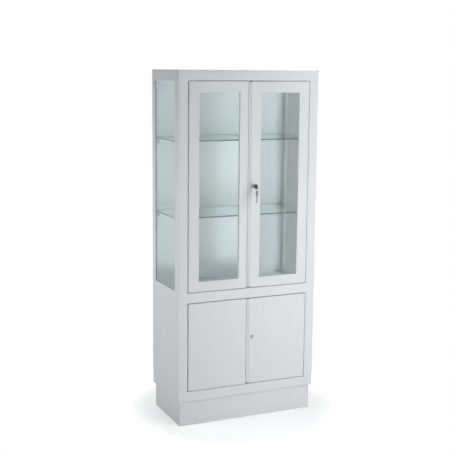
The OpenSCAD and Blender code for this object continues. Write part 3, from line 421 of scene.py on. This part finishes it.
finishes = {
    "paint": grainFinish("powderCoat", {
        "tone": (0.752, 0.782, 0.806), "drift": 0.025, "driftScale": 2.5, "grainScale": 420.0,
        "rough": (0.34, 0.44), "bump": 0.25, "bumpDepth": 0.00012,
    }),
    # the back panel is the same paint as the rest, painted lighter as painted light for the light that
    # falls on it inside the cabinet
    "back_paint_lightened": grainFinish("backPaintLightened", {
        "tone": (0.885, 0.912, 0.930), "drift": 0.02, "driftScale": 2.5, "grainScale": 420.0,
        "rough": (0.38, 0.48), "bump": 0.2, "bumpDepth": 0.00012,
    }),
    # the glazing rubber is painted pale, painted light so that the shade along the window edges doesn't
    # show as a dark line
    "seal": grainFinish("glazingRubber", {
        "tone": (0.70, 0.72, 0.735), "drift": 0.05, "driftScale": 18.0, "grainScale": 900.0,
        "rough": (0.55, 0.68), "bump": 0.2, "bumpDepth": 0.0001,
    }),
    "black_rubber": grainFinish("bufferRubber", {
        "tone": (0.030, 0.030, 0.032), "drift": 0.15, "driftScale": 60.0, "grainScale": 1500.0,
        "rough": (0.6, 0.75), "bump": 0.3, "bumpDepth": 0.0001,
    }),
    "magnet": grainFinish("sinteredMagnet", {
        "tone": (0.085, 0.085, 0.09), "drift": 0.15, "driftScale": 80.0, "grainScale": 2000.0,
        "rough": (0.4, 0.55), "bump": 0.35, "bumpDepth": 0.00008,
    }),
    # the bushes' brass is darkened, so that they don't show as tan dots in the door gaps
    "bush_brass": grainFinish("darkenedBushBrass", {
        "tone": (0.30, 0.235, 0.135), "drift": 0.12, "driftScale": 120.0, "grainScale": 1800.0,
        "rough": (0.36, 0.50), "bump": 0.15, "bumpDepth": 0.00005, "metal": 1.0,
    }),
    "chrome": grainFinish("lockChrome", {
        "tone": (0.656, 0.693, 0.705), "drift": 0.04, "driftScale": 90.0, "grainScale": 900.0,
        "rough": (0.07, 0.14), "bump": 0.05, "bumpDepth": 0.00003, "metal": 1.0,
    }),
    "zinc_steel": grainFinish("zincPlate", {
        "tone": (0.60, 0.615, 0.635), "drift": 0.10, "driftScale": 70.0, "grainScale": 1200.0,
        "rough": (0.26, 0.42), "bump": 0.12, "bumpDepth": 0.00005, "metal": 1.0,
    }),
    "key_steel": grainFinish("keyNickel", {
        "tone": (0.50, 0.505, 0.51), "drift": 0.10, "driftScale": 200.0, "grainScale": 2500.0,
        "rough": (0.24, 0.38), "bump": 0.12, "bumpDepth": 0.00004, "metal": 1.0,
    }),
    "black_plastic": grainFinish("keyPlastic", {
        "tone": (0.028, 0.029, 0.031), "drift": 0.12, "driftScale": 150.0, "grainScale": 3000.0,
        "rough": (0.36, 0.48), "bump": 0.25, "bumpDepth": 0.00004,
    }),
    "door_glass": glassFinish("doorGlass", {
        "tone": (0.932, 0.976, 0.972), "drift": 0.008, "driftScale": 3.0, "grainScale": 40.0,
        "rough": (0.0, 0.012), "ior": 1.5, "lampTone": (0.945, 0.968, 0.964),
    }),
    # the side panes are the same glass as the doors' panes, tinted darker as painted shade for the
    # light they lose where they are seen at a slant
    "side_glass": glassFinish("sideGlassDarkened", {
        "tone": (0.830, 0.918, 0.910), "drift": 0.008, "driftScale": 3.0, "grainScale": 40.0,
        "rough": (0.0, 0.012), "ior": 1.5, "lampTone": (0.945, 0.968, 0.964),
    }),
    "shelf_glass": glassFinish("shelfGlass", {
        "tone": (0.90, 0.965, 0.952), "drift": 0.008, "driftScale": 3.0, "grainScale": 40.0,
        "rough": (0.0, 0.012), "ior": 1.5, "lampTone": (0.935, 0.968, 0.960),
    }),
    "glass_edge": grainFinish("groundGlassEdge", {
        "tone": (0.075, 0.185, 0.155), "drift": 0.15, "driftScale": 9.0, "grainScale": 1400.0,
        "rough": (0.30, 0.46), "bump": 0.2, "bumpDepth": 0.00005, "coat": 0.3, "coatRough": 0.2,
    }),
    # the same ground glass edge as a shelf's, painted pale so that the shade along a window's edge
    # doesn't show as a dark line
    "pane_edge": grainFinish("paneEdgePaintedPale", {
        "tone": (0.42, 0.53, 0.51), "drift": 0.10, "driftScale": 9.0, "grainScale": 1400.0,
        "rough": (0.30, 0.46), "bump": 0.2, "bumpDepth": 0.00005,
    }),
}

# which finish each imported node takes
nodeFinish = {
    "back_paint_lightened": ["back_panel"],
    "seal": ["left_side_seal", "right_side_seal", "upper_left_door_seal", "upper_right_door_seal"],
    "black_rubber": ["door_buffers", "shelf_pads"],
    "magnet": ["door_magnets"],
    "bush_brass": ["hinge_bushes"],
    "chrome": [
        "upper_lock_housing_and_nut", "upper_lock_plug",
        "lower_lock_housing_and_nut", "lower_lock_plug",
        "upper_key", "key_ring",
    ],
    "zinc_steel": [
        "plinth_bolts_and_nuts", "back_rivets", "bead_studs_and_nuts", "shelf_clips",
        "upper_left_hinge_pins", "upper_right_hinge_pins",
        "lower_left_hinge_pins", "lower_right_hinge_pins",
        "upper_left_bolt_guides", "lower_left_bolt_guides", "upper_left_keeper", "lower_left_keeper",
        "upper_left_top_bolt", "upper_left_bottom_bolt", "lower_left_bolt",
        "upper_lock_cam", "lower_lock_cam",
    ],
    "key_steel": ["spare_key"],
    "black_plastic": ["upper_key_head"],
    "door_glass": ["upper_left_door_glass", "upper_right_door_glass"],
    "side_glass": ["left_side_glass", "right_side_glass"],
    "shelf_glass": ["lower_glass_shelf", "upper_glass_shelf"],
}
finishOf = {name: finish for finish, names in nodeFinish.items() for name in names}


def dress(piece, finish):
    piece.data.materials.clear()
    piece.data.materials.append(finishes[finish])


for name, node in nodes.items():
    dress(node, finishOf.get(name, "paint"))
print("finishes made:", len(finishes))

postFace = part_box("left_side_panel")[0].y  # the front of the corner posts
bodies = frame["record"]["behaviour"]["bodies"]
bodyOf = {node: body for body, members in bodies.items() for node in members}
weldDistance = 0.002 * mm  # points closer than this are one
flatAngle = 0.2  # faces that meet at less than this many degrees are one


def at(x, y, z):
    # mm across from the middle, behind the post face and above the floor
    return Vector((x * mm, postFace + y * mm, z * mm))


def cornersOf(node):
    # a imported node's two corners, in the terms that at() takes
    return [(c.x / mm, (c.y - postFace) / mm, c.z / mm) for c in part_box(node)]


def newPiece(name, shape):
    mesh = bpy.data.meshes.new(name)
    bmesh.ops.recalc_face_normals(shape, faces=shape.faces)
    shape.to_mesh(mesh)
    shape.free()
    piece = bpy.data.objects.new(name, mesh)
    bpy.context.scene.collection.objects.link(piece)
    return piece


def settle(piece):
    # turns the piece's modifiers into its mesh
    bpy.context.view_layer.update()
    finished = piece.evaluated_get(bpy.context.evaluated_depsgraph_get())
    ready = bpy.data.meshes.new_from_object(finished)
    piece.modifiers.clear()
    piece.data = ready
    return piece


def cleanCopy(node):
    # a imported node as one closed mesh, its flat faces joined
    shape = bmesh.new()
    shape.from_mesh(nodes[node].data)
    bmesh.ops.remove_doubles(shape, verts=shape.verts, dist=weldDistance)
    angle = math.radians(flatAngle)
    bmesh.ops.dissolve_limit(
        shape, angle_limit=angle, verts=shape.verts, edges=shape.edges, delimit={"NORMAL"}
    )
    return newPiece("soft_" + node, shape)


def smoothBy(piece, angle=38):
    for face in piece.data.polygons:
        face.use_smooth = True
    piece.data.set_sharp_from_angle(angle=math.radians(angle))
    return piece


def breakEdges(piece, width, segments=2, angle=38):
    smoothBy(piece, angle)
    bevel = piece.modifiers.new("brokenEdges", "BEVEL")
    bevel.width = width * mm
    bevel.segments = segments
    bevel.limit_method = "ANGLE"
    bevel.angle_limit = math.radians(angle)
    bevel.harden_normals = True
    return settle(piece)


def combine(piece, tool, operation):
    step = piece.modifiers.new("combine", "BOOLEAN")
    step.operation = operation
    step.solver = "EXACT"
    step.object = tool
    settle(piece)
    bpy.data.objects.remove(tool)
    return piece


def place(piece, node):
    # the piece rides with the node that it stands for, in its finish
    finish = finishOf.get(node, "paint")
    dress(piece, finish)
    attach(piece, bodyOf[node])
    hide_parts(node)
    return piece


def roundedOutline(low, high, radius, steps=8):
    # corners of a rounded rectangle, anticlockwise
    (u0, v0), (u1, v1) = low, high
    left, right, bottom, top = u0 + radius, u1 - radius, v0 + radius, v1 - radius
    middles = [(right, top), (left, top), (left, bottom), (right, bottom)]
    points = []
    for quarter, (u, v) in enumerate(middles):
        for step in range(steps + 1):
            turn = math.pi / 2 * (quarter + step / steps)
            points.append((u + radius * math.cos(turn), v + radius * math.sin(turn)))
    return points


def joinLoops(shape, here, there):
    # the wall between two closed loops of as many points
    for i in range(len(here)):
        j = (i + 1) % len(here)
        shape.faces.new((here[i], here[j], there[j], there[i]))


def plateAcross(name, outline, x0, x1):
    # a flat plate whose outline is in depth and height, standing between two distances across
    shape = bmesh.new()
    sides = [[shape.verts.new(at(x, y, z)) for y, z in outline] for x in (x0, x1)]
    for side in sides:
        shape.faces.new(side)
    joinLoops(shape, *sides)
    return newPiece(name, shape)


def turned(name, outline, x, z, steps=72, bite=0.0, rimDepth=0.4):
    # (radius, depth) points turned about an axis along the depth; bite notches every other step
    rim = max(r for r, y in outline)
    shape = bmesh.new()
    rings = []
    for step in range(steps):
        turn = 2 * math.pi * step / steps
        ring = []
        for r, y in outline:
            reach = r - bite if bite and step % 2 and r > rim - rimDepth else r
            corner = at(x + reach * math.cos(turn), y, z + reach * math.sin(turn))
            ring.append(shape.verts.new(corner))
        rings.append(ring)
    for step in range(steps):
        joinLoops(shape, rings[step], rings[(step + 1) % steps])
    return newPiece(name, shape)


# how far the edges of each kind of piece are broken, in mm
edgeBreaks = {
    "paint": 0.25, "back_paint_lightened": 0.25, "seal": 0.35, "black_rubber": 0.3, "magnet": 0.25,
    "bush_brass": 0.25, "zinc_steel": 0.35, "door_glass": 0.4, "side_glass": 0.4, "shelf_glass": 0.6,
}
madeByHand = [
    "upper_lock_housing_and_nut", "lower_lock_housing_and_nut",
    "upper_lock_plug", "lower_lock_plug",
    "upper_key", "upper_key_head", "key_ring", "spare_key", "back_rivets",
]
clearFace = 0.95  # a face is clear where its normal lies along the pane's thin side


def edgePane(piece, finish):
    # the two faces of a pane are clear; its ground edges are green on a shelf, and in a seal they are
    # painted pale, painted light so that the shade at a window's edge doesn't show dark
    thin = min(range(3), key=lambda i: piece.dimensions[i])
    ground = "glass_edge" if finish == "shelf_glass" else "pane_edge"
    piece.data.materials.append(finishes[ground])
    for face in piece.data.polygons:
        face.material_index = 0 if abs(face.normal[thin]) > clearFace else 1


def softenNodes(breaks, leftOut):
    made = 0
    for node in sorted(nodes):
        if node in leftOut:
            continue
        finish = finishOf.get(node, "paint")
        segments = 1 if "glass" in finish else 2
        piece = place(breakEdges(cleanCopy(node), breaks[finish], segments), node)
        if "glass" in finish:
            edgePane(piece, finish)
        made += 1
    print("edges broken on", made, "pieces")


softenNodes(edgeBreaks, madeByHand)

weldFill = {
    # the rails are welded to the posts and ground flush, so the groove at the post's fold is filled
    "fold": 2.5,
    "inFromEdge": 0.6,
    "overlap": 0.05,
    "steps": 6,
    # how far a stop lip stands out below and above the face of each rail
    "lips": {"bottom_rail": (0.0, 14.0), "middle_rail": (14.0, 14.0), "top_rail": (14.0, 0.0)},
}


def fillWelds(w):
    shape = bmesh.new()
    r = w["fold"]
    postInner = cornersOf("right_side_panel")[0][0]
    centre = postInner + r
    start = postInner - w["overlap"]
    outline = [(centre, 0.0), (start, 0.0), (start, r)]
    for step in range(w["steps"]):
        turn = math.pi / 2 * step / w["steps"]
        outline.append((centre - r * math.cos(turn), r - r * math.sin(turn)))
    for side in (-1, 1):
        for rail, (below, above) in w["lips"].items():
            z0, z1 = (corner[2] for corner in cornersOf(rail))
            heights = (z0 + below + w["inFromEdge"], z1 - above - w["inFromEdge"])
            ends = [[shape.verts.new(at(side * x, y, z)) for x, y in outline] for z in heights]
            for end in ends:
                shape.faces.new(end)
            joinLoops(shape, *ends)
    piece = newPiece("rail_weld_fill", shape)
    dress(piece, "paint")
    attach(piece, "cabinet")


fillWelds(weldFill)
print("welds filled")

locks = {
    "across": 22.0,
    "heights": {"upper": 1221.0, "lower": 436.0},
    # a domed flange with the barrel behind it
    "housing": [
        (6.65, -3.3), (6.95, -3.75), (7.5, -3.95), (8.3, -4.0), (9.1, -3.85), (9.8, -3.5),
        (10.25, -3.0), (10.45, -2.4), (10.5, -2.0), (9.4, -2.0), (9.4, 20.5), (8.9, 21.0),
        (7.0, 21.0), (6.65, 20.7),
    ],
    "nut": [
        (9.55, 18.0), (11.6, 18.0), (12.0, 18.4), (12.0, 20.6), (11.6, 21.0), (9.9, 21.0), (9.55, 20.6),
    ],
    "nutBite": 0.3,
    "nutSharp": 25,  # edges above this many degrees stay sharp
    "plugBreak": 0.4,
}


def fitLocks(k):
    for row, height in k["heights"].items():
        housing = smoothBy(turned(row + "_lock_flange", k["housing"], k["across"], height))
        nut = turned(row + "_ring_nut", k["nut"], k["across"], height, bite=k["nutBite"])
        smoothBy(nut, k["nutSharp"])
        node = row + "_lock_housing_and_nut"
        place(housing, node)
        place(nut, node)
        place(breakEdges(cleanCopy(row + "_lock_plug"), k["plugBreak"], 3), row + "_lock_plug")
    print("locks made")


fitLocks(locks)

keyHead = {
    # in mm: the moulded recess in each side, the boss round the eyelet and the slot for the blade
    "corner": 8.0, "rim": 2.3, "innerCorner": 5.5, "recess": 0.5, "solidFront": 9.5,
    "eyeletFromEnd": 5.5, "eyelet": 3.5, "boss": 5.3, "bossInset": 0.12, "bladeFit": 0.1, "edge": 0.45,
}
past = 1.0  # how far a cutting tool stands past the face that it cuts, in mm


def roundAcross(name, y, z, radius, x0, x1, steps=48):
    turns = [2 * math.pi * i / steps for i in range(steps)]
    outline = [(y + radius * math.cos(turn), z + radius * math.sin(turn)) for turn in turns]
    return plateAcross(name, outline, x0, x1)


def slab(corners):
    # a rectangle between two opposite corners
    (y0, z0), (y1, z1) = corners
    return [(y0, z0), (y1, z0), (y1, z1), (y0, z1)]


def sinkBothSides(piece, name, outline, sides, deep):
    x0, x1 = sides
    for a, b in ((x0 - past, x0 + deep), (x1 - deep, x1 + past)):
        combine(piece, plateAcross(name, outline, a, b), "DIFFERENCE")


def mouldKeyHead(k):
    (x0, y0, z0), (x1, y1, z1) = cornersOf("upper_key_head")
    outer = roundedOutline((y0, z0), (y1, z1), k["corner"])
    piece = plateAcross("moulded_key_head", outer, x0, x1)
    low, high = (y0 + k["rim"], z0 + k["rim"]), (y1 - k["solidFront"], z1 - k["rim"])
    sinkBothSides(piece, "recess", roundedOutline(low, high, k["innerCorner"]), (x0, x1), k["recess"])
    eyelet = ("eyelet", y0 + k["eyeletFromEnd"], (z0 + z1) / 2)
    boss = roundAcross(*eyelet, k["boss"], x0 + k["bossInset"], x1 - k["bossInset"])
    combine(piece, boss, "UNION")
    combine(piece, roundAcross(*eyelet, k["eyelet"], x0 - past, x1 + past), "DIFFERENCE")
    (left, end, bottom), (right, _, top) = cornersOf("upper_key")
    fit = k["bladeFit"]
    blade = slab(((end - fit, bottom - fit), (y1 + past, top + fit)))
    combine(piece, plateAcross("slot", blade, left - fit, right + fit), "DIFFERENCE")
    place(breakEdges(piece, k["edge"], 3), "upper_key_head")


mouldKeyHead(keyHead)

keyBlades = {
    # a milled groove along each side of a blade, as its corners in depth and height
    "upper_key": {"groove": ((-24.5, 1219.4), (16.5, 1221.0)), "deep": 0.45, "edge": 0.2},
    "spare_key": {"groove": ((-42.1, 1139.0), (-40.5, 1174.0)), "deep": 0.45, "edge": 0.25},
}
# the sunk panel in each side of the spare key's bow
spareBow = {"low": (-51.0, 1178.6), "high": (-32.0, 1194.5), "corner": 5.0, "deep": 0.3}


def millBlades(blades, bow):
    for node, b in blades.items():
        piece = cleanCopy(node)
        sides = [corner[0] for corner in cornersOf(node)]
        sinkBothSides(piece, "groove", slab(b["groove"]), sides, b["deep"])
        if node == "spare_key":
            panel = roundedOutline(bow["low"], bow["high"], bow["corner"])
            sinkBothSides(piece, "panel", panel, sides, bow["deep"])
        place(breakEdges(piece, b["edge"]), node)
    print("keys made")


millBlades(keyBlades, spareBow)

splitRing = {
    # two turns of round wire, coiled side by side
    "middle": (22.0, -41.5, 1208.59), "radius": 10.0, "wire": 0.35, "turns": 2.06, "lead": 0.7,
    "steps": 150, "wireSteps": 12,
}


def newBuild(name, inputs):
    # a Geometry Nodes tree with its inputs' identifiers and its two ends
    tree = bpy.data.node_groups.new(name, "GeometryNodeTree")
    sockets = {}
    for label, kind in inputs:
        socket = tree.interface.new_socket(label, in_out="INPUT", socket_type=kind)
        sockets[label] = socket.identifier
    tree.interface.new_socket("Geometry", in_out="OUTPUT", socket_type="NodeSocketGeometry")
    return tree, sockets, newNode(tree, "NodeGroupInput"), newNode(tree, "NodeGroupOutput")


def coatAndEnd(tree, geometry, given, out):
    whole = newNode(tree, "GeometryNodeRealizeInstances")
    linkUp(tree, geometry, whole.inputs[0])
    coat = newNode(tree, "GeometryNodeSetMaterial")
    linkUp(tree, whole.outputs[0], coat.inputs["Geometry"])
    linkUp(tree, given.outputs["Finish"], coat.inputs["Material"])
    linkUp(tree, coat.outputs[0], out.inputs[0])


def runBuild(piece, tree, sockets, values):
    step = piece.modifiers.new("build", "NODES")
    step.node_group = tree
    for label, value in values.items():
        step[sockets[label]] = value
    return settle(piece)


def coilBuild(k):
    number = "NodeSocketFloat"
    tree, sockets, given, out = newBuild("splitRing", [
        ("Radius", number), ("Wire", number), ("Turns", number), ("Lead", number),
        ("Steps", "NodeSocketInt"), ("Finish", "NodeSocketMaterial"),
    ])
    coil = newNode(tree, "GeometryNodeCurveSpiral")
    for label, socket in (
        ("Steps", "Resolution"), ("Turns", "Rotations"), ("Radius", "Start Radius"),
        ("Radius", "End Radius"), ("Lead", "Height"),
    ):
        linkUp(tree, given.outputs[label], coil.inputs[socket])
    section = newNode(tree, "GeometryNodeCurvePrimitiveCircle")
    section.inputs["Resolution"].default_value = k["wireSteps"]
    linkUp(tree, given.outputs["Wire"], section.inputs["Radius"])
    sweep = newNode(tree, "GeometryNodeCurveToMesh")
    sweep.inputs["Fill Caps"].default_value = True
    linkUp(tree, coil.outputs[0], sweep.inputs["Curve"])
    linkUp(tree, section.outputs[0], sweep.inputs["Profile Curve"])
    coatAndEnd(tree, sweep.outputs[0], given, out)
    return tree, sockets


def coilRing(k):
    piece = bpy.data.objects.new("split_key_ring", bpy.data.meshes.new("split_key_ring"))
    bpy.context.scene.collection.objects.link(piece)
    runBuild(piece, *coilBuild(k), {
        "Radius": k["radius"] * mm, "Wire": k["wire"] * mm, "Turns": k["turns"],
        "Lead": k["lead"] * mm, "Steps": k["steps"], "Finish": finishes["chrome"],
    })
    # the coil is wound about its own height, and the ring hangs with that line along the depth
    lay = Matrix.Rotation(math.radians(90), 4, "X") @ Matrix.Translation((0, 0, -k["lead"] / 2 * mm))
    piece.data.transform(Matrix.Translation(at(*k["middle"])) @ lay)
    smoothBy(piece)
    place(piece, "key_ring")
    print("split ring coiled")


coilRing(splitRing)

rivet = {
    # (radius, distance out from the back's outer face), with the hole of the drawn pin
    "outline": [
        (0.0, 0.55), (0.55, 0.55), (0.8, 0.95), (1.3, 1.0), (2.1, 0.85), (2.8, 0.5), (3.2, 0.05),
        (3.2, 0.0), (1.6, 0.0), (1.6, -2.4), (2.3, -2.5), (2.5, -2.9), (2.2, -3.4), (1.1, -3.4),
        (0.0, -3.4),
    ],
    "steps": 20,
    "sharp": 30,  # edges above this many degrees stay sharp
}


def islandMiddles(node):
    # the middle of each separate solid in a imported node
    shape = bmesh.new()
    shape.from_mesh(nodes[node].data)
    bmesh.ops.remove_doubles(shape, verts=shape.verts, dist=weldDistance)
    left = set(shape.verts)
    middles = []
    while left:
        group, edge = [], [left.pop()]
        while edge:
            vert = edge.pop()
            group.append(vert.co.copy())
            for link in vert.link_edges:
                other = link.other_vert(vert)
                if other in left:
                    left.remove(other)
                    edge.append(other)
        spans = [[corner[i] for corner in group] for i in range(3)]
        middles.append(tuple((min(span) + max(span)) / 2 for span in spans))
    shape.free()
    return sorted(middles)


def turnRivet(k):
    shape = bmesh.new()
    turns = [2 * math.pi * i / k["steps"] for i in range(k["steps"])]
    rings = []
    for r, y in k["outline"]:
        if r == 0:
            rings.append([shape.verts.new((0, y * mm, 0))])
            continue
        points = [(r * mm * math.cos(turn), y * mm, r * mm * math.sin(turn)) for turn in turns]
        rings.append([shape.verts.new(point) for point in points])
    for here, there in zip(rings, rings[1:]):
        for i in range(k["steps"]):
            j = (i + 1) % k["steps"]
            around = ((here, i), (here, j), (there, j), (there, i))
            corners = [ring[step % len(ring)] for ring, step in around]
            shape.faces.new(list(dict.fromkeys(corners)))
    return smoothBy(newPiece("rivetPattern", shape), k["sharp"])


def rowBuild():
    tree, sockets, given, out = newBuild("rivetRows", [
        ("Places", "NodeSocketGeometry"),
        ("Rivet", "NodeSocketObject"),
        ("Finish", "NodeSocketMaterial"),
    ])
    fetch = newNode(tree, "GeometryNodeObjectInfo")
    linkUp(tree, given.outputs["Rivet"], fetch.inputs["Object"])
    row = newNode(tree, "GeometryNodeInstanceOnPoints")
    linkUp(tree, given.outputs["Places"], row.inputs["Points"])
    linkUp(tree, fetch.outputs["Geometry"], row.inputs["Instance"])
    coatAndEnd(tree, row.outputs[0], given, out)
    return tree, sockets


def setRivets(k):
    head = max(y for r, y in k["outline"])
    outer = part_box("back_rivets")[1].y - head * mm
    middles = islandMiddles("back_rivets")
    places = bmesh.new()
    for x, _, z in middles:
        places.verts.new((x, outer, z))
    pattern = turnRivet(k)
    piece = newPiece("back_rivet_rows", places)
    runBuild(piece, *rowBuild(), {"Rivet": pattern, "Finish": finishes["zinc_steel"]})
    bpy.data.objects.remove(pattern)
    place(piece, "back_rivets")
    print("rivets set:", len(middles))


setRivets(rivet)
